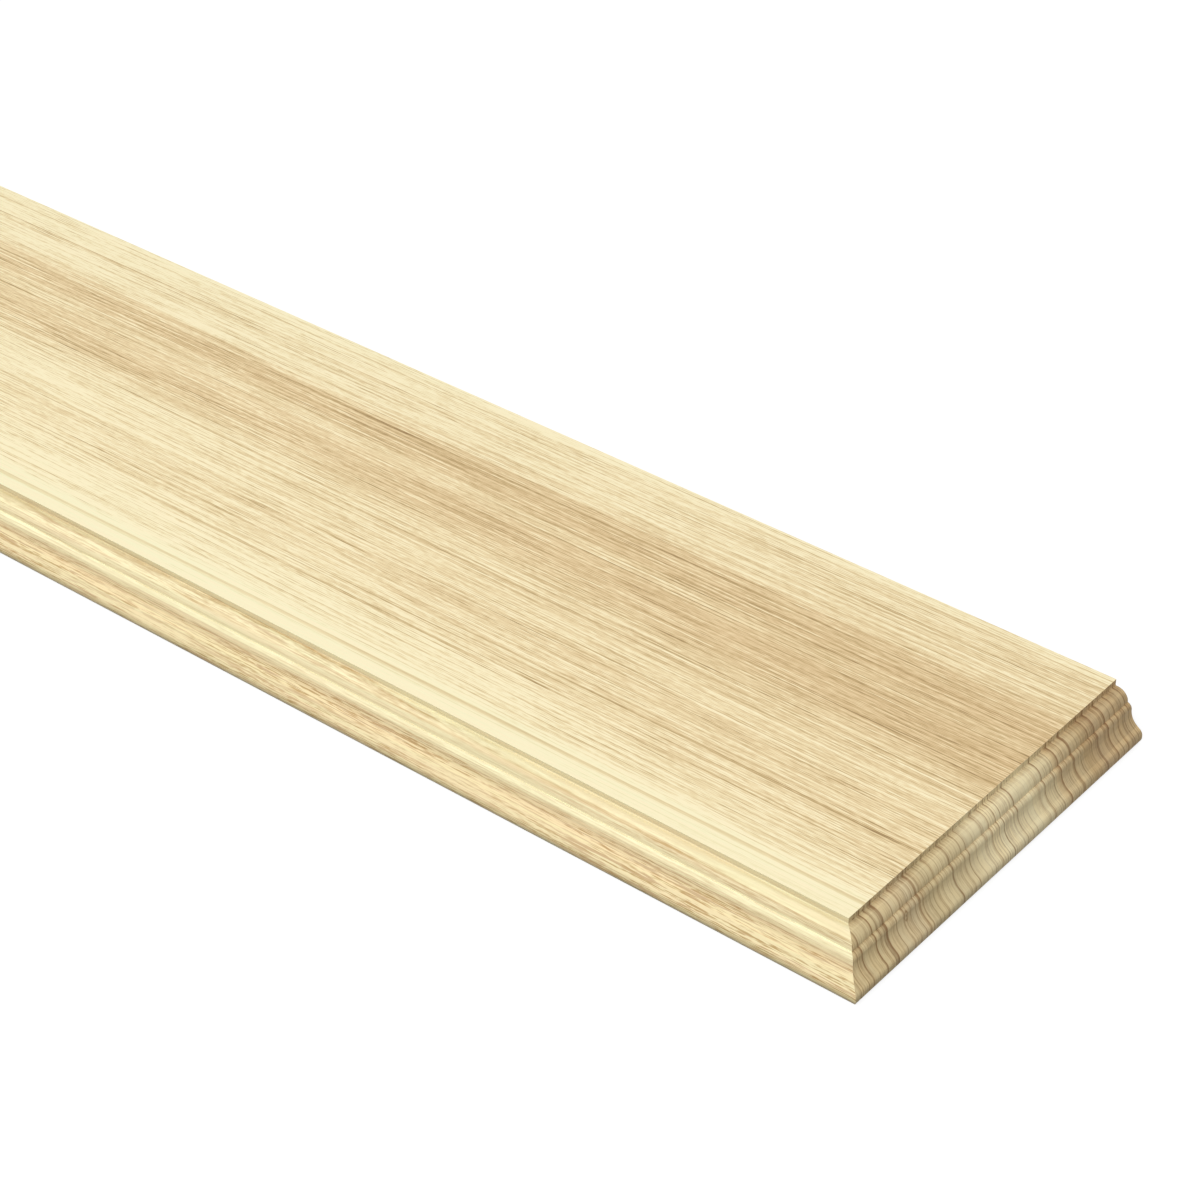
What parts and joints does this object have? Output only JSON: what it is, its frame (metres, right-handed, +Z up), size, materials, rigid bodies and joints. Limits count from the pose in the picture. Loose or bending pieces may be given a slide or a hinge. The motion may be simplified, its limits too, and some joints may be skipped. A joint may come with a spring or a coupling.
{
  "type": "window sill board",
  "caption": "Flat timber window sill board with a moulded front edge that returns around its right end; the back edge and left end are square.",
  "frame": {"origin": "centre of the underside: middle of the length and of the overall depth, on the plane that the board lies on", "axes": "+X along the board towards the moulded return, +Y from the moulded front to the square back edge, +Z up through the thickness"},
  "size_m": [1.2, 0.22, 0.028],
  "materials": {
    "timber": "bare planed pale softwood, matt, straight grain"
  },
  "bodies": {
    "root": {"sill_board": "timber"}
  },
  "joints": []
}
